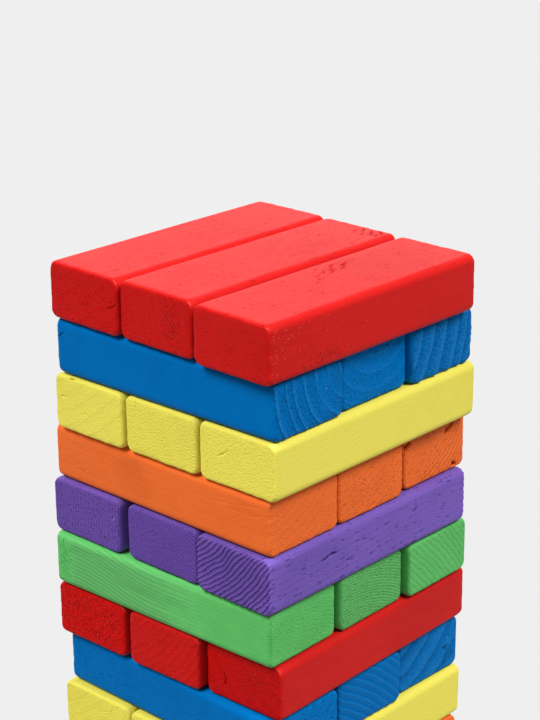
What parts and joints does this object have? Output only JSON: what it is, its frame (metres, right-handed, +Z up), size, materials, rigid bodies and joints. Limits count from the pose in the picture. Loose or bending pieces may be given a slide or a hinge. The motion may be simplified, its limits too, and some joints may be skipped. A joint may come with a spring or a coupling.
{
  "type": "block stacking tower game",
  "caption": "Stacking tower game of painted wooden blocks, laid in courses of crossing direction; blocks slide out along their length and the top ones lift off.",
  "frame": {"origin": "middle of the underside of the bottom course's middle block, on the table", "axes": "+Z up the tower, -Y towards its front face, +X towards its right face; odd courses run along X, even courses along Y"},
  "size_m": [0.0834, 0.0828, 0.2705],
  "materials": {
    "green_paint": "satin green paint over sawn wood",
    "purple_paint": "satin purple paint over sawn wood",
    "orange_paint": "satin orange paint over sawn wood",
    "yellow_paint": "satin yellow paint over sawn wood",
    "blue_paint": "satin blue paint over sawn wood",
    "red_paint": "satin red paint over sawn wood"
  },
  "bodies": {
    "course_01_green_front": {"course_01_green_front": "green_paint"},
    "course_01_green_middle": {"course_01_green_middle": "green_paint"},
    "course_01_green_back": {"course_01_green_back": "green_paint"},
    "course_02_purple_left": {"course_02_purple_left": "purple_paint"},
    "course_02_purple_middle": {"course_02_purple_middle": "purple_paint"},
    "course_02_purple_right": {"course_02_purple_right": "purple_paint"},
    "course_03_orange_front": {"course_03_orange_front": "orange_paint"},
    "course_03_orange_middle": {"course_03_orange_middle": "orange_paint"},
    "course_03_orange_back": {"course_03_orange_back": "orange_paint"},
    "course_04_yellow_left": {"course_04_yellow_left": "yellow_paint"},
    "course_04_yellow_middle": {"course_04_yellow_middle": "yellow_paint"},
    "course_04_yellow_right": {"course_04_yellow_right": "yellow_paint"},
    "course_05_blue_front": {"course_05_blue_front": "blue_paint"},
    "course_05_blue_middle": {"course_05_blue_middle": "blue_paint"},
    "course_05_blue_back": {"course_05_blue_back": "blue_paint"},
    "course_06_red_left": {"course_06_red_left": "red_paint"},
    "course_06_red_middle": {"course_06_red_middle": "red_paint"},
    "course_06_red_right": {"course_06_red_right": "red_paint"},
    "course_07_green_front": {"course_07_green_front": "green_paint"},
    "course_07_green_middle": {"course_07_green_middle": "green_paint"},
    "course_07_green_back": {"course_07_green_back": "green_paint"},
    "course_08_purple_left": {"course_08_purple_left": "purple_paint"},
    "course_08_purple_middle": {"course_08_purple_middle": "purple_paint"},
    "course_08_purple_right": {"course_08_purple_right": "purple_paint"},
    "course_09_orange_front": {"course_09_orange_front": "orange_paint"},
    "course_09_orange_middle": {"course_09_orange_middle": "orange_paint"},
    "course_09_orange_back": {"course_09_orange_back": "orange_paint"},
    "course_10_yellow_left": {"course_10_yellow_left": "yellow_paint"},
    "course_10_yellow_middle": {"course_10_yellow_middle": "yellow_paint"},
    "course_10_yellow_right": {"course_10_yellow_right": "yellow_paint"},
    "course_11_blue_front": {"course_11_blue_front": "blue_paint"},
    "course_11_blue_middle": {"course_11_blue_middle": "blue_paint"},
    "course_11_blue_back": {"course_11_blue_back": "blue_paint"},
    "course_12_red_left": {"course_12_red_left": "red_paint"},
    "course_12_red_middle": {"course_12_red_middle": "red_paint"},
    "course_12_red_right": {"course_12_red_right": "red_paint"},
    "course_13_green_front": {"course_13_green_front": "green_paint"},
    "course_13_green_middle": {"course_13_green_middle": "green_paint"},
    "course_13_green_back": {"course_13_green_back": "green_paint"},
    "course_14_purple_left": {"course_14_purple_left": "purple_paint"},
    "course_14_purple_middle": {"course_14_purple_middle": "purple_paint"},
    "course_14_purple_right": {"course_14_purple_right": "purple_paint"},
    "course_15_orange_front": {"course_15_orange_front": "orange_paint"},
    "course_15_orange_middle": {"course_15_orange_middle": "orange_paint"},
    "course_15_orange_back": {"course_15_orange_back": "orange_paint"},
    "course_16_yellow_left": {"course_16_yellow_left": "yellow_paint"},
    "course_16_yellow_middle": {"course_16_yellow_middle": "yellow_paint"},
    "course_16_yellow_right": {"course_16_yellow_right": "yellow_paint"},
    "course_17_blue_front": {"course_17_blue_front": "blue_paint"},
    "course_17_blue_middle": {"course_17_blue_middle": "blue_paint"},
    "course_17_blue_back": {"course_17_blue_back": "blue_paint"},
    "course_18_red_left": {"course_18_red_left": "red_paint"},
    "course_18_red_middle": {"course_18_red_middle": "red_paint"},
    "course_18_red_right": {"course_18_red_right": "red_paint"}
  },
  "joints": [
    {"name": "course_01_green_front_slide", "type": "slide", "parent": "course_01_green_middle", "child": "course_01_green_front", "axis": [1, 0, 0], "range_m": [-0.085, 0.085]},
    {"name": "course_01_green_back_slide", "type": "slide", "parent": "course_01_green_middle", "child": "course_01_green_back", "axis": [1, 0, 0], "range_m": [-0.085, 0.085]},
    {"name": "course_02_purple_left_slide", "type": "slide", "parent": "course_01_green_middle", "child": "course_02_purple_left", "axis": [0.0087, 1, 0], "range_m": [-0.085, 0.085]},
    {"name": "course_02_purple_middle_slide", "type": "slide", "parent": "course_01_green_middle", "child": "course_02_purple_middle", "axis": [0.0087, 1, 0], "range_m": [-0.085, 0.085]},
    {"name": "course_02_purple_right_slide", "type": "slide", "parent": "course_01_green_middle", "child": "course_02_purple_right", "axis": [0.0087, 1, 0], "range_m": [-0.085, 0.085]},
    {"name": "course_03_orange_front_slide", "type": "slide", "parent": "course_01_green_middle", "child": "course_03_orange_front", "axis": [1, 0.0087, 0], "range_m": [-0.085, 0.085]},
    {"name": "course_03_orange_middle_slide", "type": "slide", "parent": "course_01_green_middle", "child": "course_03_orange_middle", "axis": [1, 0.0087, 0], "range_m": [-0.085, 0.085]},
    {"name": "course_03_orange_back_slide", "type": "slide", "parent": "course_01_green_middle", "child": "course_03_orange_back", "axis": [1, 0.0087, 0], "range_m": [-0.085, 0.085]},
    {"name": "course_04_yellow_left_slide", "type": "slide", "parent": "course_01_green_middle", "child": "course_04_yellow_left", "axis": [-0.0044, 1, 0], "range_m": [-0.085, 0.085]},
    {"name": "course_04_yellow_middle_slide", "type": "slide", "parent": "course_01_green_middle", "child": "course_04_yellow_middle", "axis": [-0.0044, 1, 0], "range_m": [-0.085, 0.085]},
    {"name": "course_04_yellow_right_slide", "type": "slide", "parent": "course_01_green_middle", "child": "course_04_yellow_right", "axis": [-0.0044, 1, 0], "range_m": [-0.085, 0.085]},
    {"name": "course_05_blue_front_slide", "type": "slide", "parent": "course_01_green_middle", "child": "course_05_blue_front", "axis": [0.9999, -0.0131, 0], "range_m": [-0.085, 0.085]},
    {"name": "course_05_blue_middle_slide", "type": "slide", "parent": "course_01_green_middle", "child": "course_05_blue_middle", "axis": [0.9999, -0.0131, 0], "range_m": [-0.085, 0.085]},
    {"name": "course_05_blue_back_slide", "type": "slide", "parent": "course_01_green_middle", "child": "course_05_blue_back", "axis": [0.9999, -0.0131, 0], "range_m": [-0.085, 0.085]},
    {"name": "course_06_red_left_slide", "type": "slide", "parent": "course_01_green_middle", "child": "course_06_red_left", "axis": [-0.0087, 1, 0], "range_m": [-0.085, 0.085]},
    {"name": "course_06_red_middle_slide", "type": "slide", "parent": "course_01_green_middle", "child": "course_06_red_middle", "axis": [-0.0087, 1, 0], "range_m": [-0.085, 0.085]},
    {"name": "course_06_red_right_slide", "type": "slide", "parent": "course_01_green_middle", "child": "course_06_red_right", "axis": [-0.0087, 1, 0], "range_m": [-0.085, 0.085]},
    {"name": "course_07_green_front_slide", "type": "slide", "parent": "course_01_green_middle", "child": "course_07_green_front", "axis": [0.9999, 0.0131, 0], "range_m": [-0.085, 0.085]},
    {"name": "course_07_green_middle_slide", "type": "slide", "parent": "course_01_green_middle", "child": "course_07_green_middle", "axis": [0.9999, 0.0131, 0], "range_m": [-0.085, 0.085]},
    {"name": "course_07_green_back_slide", "type": "slide", "parent": "course_01_green_middle", "child": "course_07_green_back", "axis": [0.9999, 0.0131, 0], "range_m": [-0.085, 0.085]},
    {"name": "course_08_purple_left_slide", "type": "slide", "parent": "course_01_green_middle", "child": "course_08_purple_left", "axis": [0.0087, 1, 0], "range_m": [-0.085, 0.085]},
    {"name": "course_08_purple_middle_slide", "type": "slide", "parent": "course_01_green_middle", "child": "course_08_purple_middle", "axis": [0.0087, 1, 0], "range_m": [-0.085, 0.085]},
    {"name": "course_08_purple_right_slide", "type": "slide", "parent": "course_01_green_middle", "child": "course_08_purple_right", "axis": [0.0087, 1, 0], "range_m": [-0.085, 0.085]},
    {"name": "course_09_orange_front_slide", "type": "slide", "parent": "course_01_green_middle", "child": "course_09_orange_front", "axis": [0.9999, -0.0131, 0], "range_m": [-0.085, 0.085]},
    {"name": "course_09_orange_middle_slide", "type": "slide", "parent": "course_01_green_middle", "child": "course_09_orange_middle", "axis": [0.9999, -0.0131, 0], "range_m": [-0.085, 0.085]},
    {"name": "course_09_orange_back_slide", "type": "slide", "parent": "course_01_green_middle", "child": "course_09_orange_back", "axis": [0.9999, -0.0131, 0], "range_m": [-0.085, 0.085]},
    {"name": "course_10_yellow_left_slide", "type": "slide", "parent": "course_01_green_middle", "child": "course_10_yellow_left", "axis": [-0.0044, 1, 0], "range_m": [-0.085, 0.085]},
    {"name": "course_10_yellow_middle_slide", "type": "slide", "parent": "course_01_green_middle", "child": "course_10_yellow_middle", "axis": [-0.0044, 1, 0], "range_m": [-0.085, 0.085]},
    {"name": "course_10_yellow_right_slide", "type": "slide", "parent": "course_01_green_middle", "child": "course_10_yellow_right", "axis": [-0.0044, 1, 0], "range_m": [-0.085, 0.085]},
    {"name": "course_11_blue_front_slide", "type": "slide", "parent": "course_01_green_middle", "child": "course_11_blue_front", "axis": [0.9998, -0.0175, 0], "range_m": [-0.085, 0.085]},
    {"name": "course_11_blue_middle_slide", "type": "slide", "parent": "course_01_green_middle", "child": "course_11_blue_middle", "axis": [0.9998, -0.0175, 0], "range_m": [-0.085, 0.085]},
    {"name": "course_11_blue_back_slide", "type": "slide", "parent": "course_01_green_middle", "child": "course_11_blue_back", "axis": [0.9998, -0.0175, 0], "range_m": [-0.085, 0.085]},
    {"name": "course_12_red_left_slide", "type": "slide", "parent": "course_01_green_middle", "child": "course_12_red_left", "axis": [-0.0218, 0.9998, 0], "range_m": [-0.085, 0.085]},
    {"name": "course_12_red_middle_slide", "type": "slide", "parent": "course_01_green_middle", "child": "course_12_red_middle", "axis": [-0.0218, 0.9998, 0], "range_m": [-0.085, 0.085]},
    {"name": "course_12_red_right_slide", "type": "slide", "parent": "course_01_green_middle", "child": "course_12_red_right", "axis": [-0.0218, 0.9998, 0], "range_m": [-0.085, 0.085]},
    {"name": "course_13_green_front_slide", "type": "slide", "parent": "course_01_green_middle", "child": "course_13_green_front", "axis": [0.9998, 0.0218, 0], "range_m": [-0.085, 0.085]},
    {"name": "course_13_green_middle_slide", "type": "slide", "parent": "course_01_green_middle", "child": "course_13_green_middle", "axis": [0.9998, 0.0218, 0], "range_m": [-0.085, 0.085]},
    {"name": "course_13_green_back_slide", "type": "slide", "parent": "course_01_green_middle", "child": "course_13_green_back", "axis": [0.9998, 0.0218, 0], "range_m": [-0.085, 0.085]},
    {"name": "course_14_purple_left_slide", "type": "slide", "parent": "course_01_green_middle", "child": "course_14_purple_left", "axis": [0.0044, 1, 0], "range_m": [-0.085, 0.085]},
    {"name": "course_14_purple_middle_slide", "type": "slide", "parent": "course_01_green_middle", "child": "course_14_purple_middle", "axis": [0.0044, 1, 0], "range_m": [-0.085, 0.085]},
    {"name": "course_14_purple_right_slide", "type": "slide", "parent": "course_01_green_middle", "child": "course_14_purple_right", "axis": [0.0044, 1, 0], "range_m": [-0.085, 0.085]},
    {"name": "course_15_orange_front_slide", "type": "slide", "parent": "course_01_green_middle", "child": "course_15_orange_front", "axis": [1, -0.0087, 0], "range_m": [-0.085, 0.085]},
    {"name": "course_15_orange_middle_slide", "type": "slide", "parent": "course_01_green_middle", "child": "course_15_orange_middle", "axis": [1, -0.0087, 0], "range_m": [-0.085, 0.085]},
    {"name": "course_15_orange_back_slide", "type": "slide", "parent": "course_01_green_middle", "child": "course_15_orange_back", "axis": [1, -0.0087, 0], "range_m": [-0.085, 0.085]},
    {"name": "course_16_yellow_left_slide", "type": "slide", "parent": "course_01_green_middle", "child": "course_16_yellow_left", "axis": [0.0044, 1, 0], "range_m": [-0.085, 0.085]},
    {"name": "course_16_yellow_middle_slide", "type": "slide", "parent": "course_01_green_middle", "child": "course_16_yellow_middle", "axis": [0.0044, 1, 0], "range_m": [-0.085, 0.085]},
    {"name": "course_16_yellow_right_slide", "type": "slide", "parent": "course_01_green_middle", "child": "course_16_yellow_right", "axis": [0.0044, 1, 0], "range_m": [-0.085, 0.085]},
    {"name": "course_17_blue_front_slide", "type": "slide", "parent": "course_01_green_middle", "child": "course_17_blue_front", "axis": [1, 0.0087, 0], "range_m": [-0.085, 0.085]},
    {"name": "course_17_blue_middle_slide", "type": "slide", "parent": "course_01_green_middle", "child": "course_17_blue_middle", "axis": [1, 0.0087, 0], "range_m": [-0.085, 0.085]},
    {"name": "course_17_blue_back_slide", "type": "slide", "parent": "course_01_green_middle", "child": "course_17_blue_back", "axis": [1, 0.0087, 0], "range_m": [-0.085, 0.085]},
    {"name": "course_18_red_left_lift", "type": "slide", "parent": "course_01_green_middle", "child": "course_18_red_left", "axis": [0, 0, 1], "range_m": [0, 0.04]},
    {"name": "course_18_red_middle_lift", "type": "slide", "parent": "course_01_green_middle", "child": "course_18_red_middle", "axis": [0, 0, 1], "range_m": [0, 0.04]},
    {"name": "course_18_red_right_lift", "type": "slide", "parent": "course_01_green_middle", "child": "course_18_red_right", "axis": [0, 0, 1], "range_m": [0, 0.04]}
  ]
}
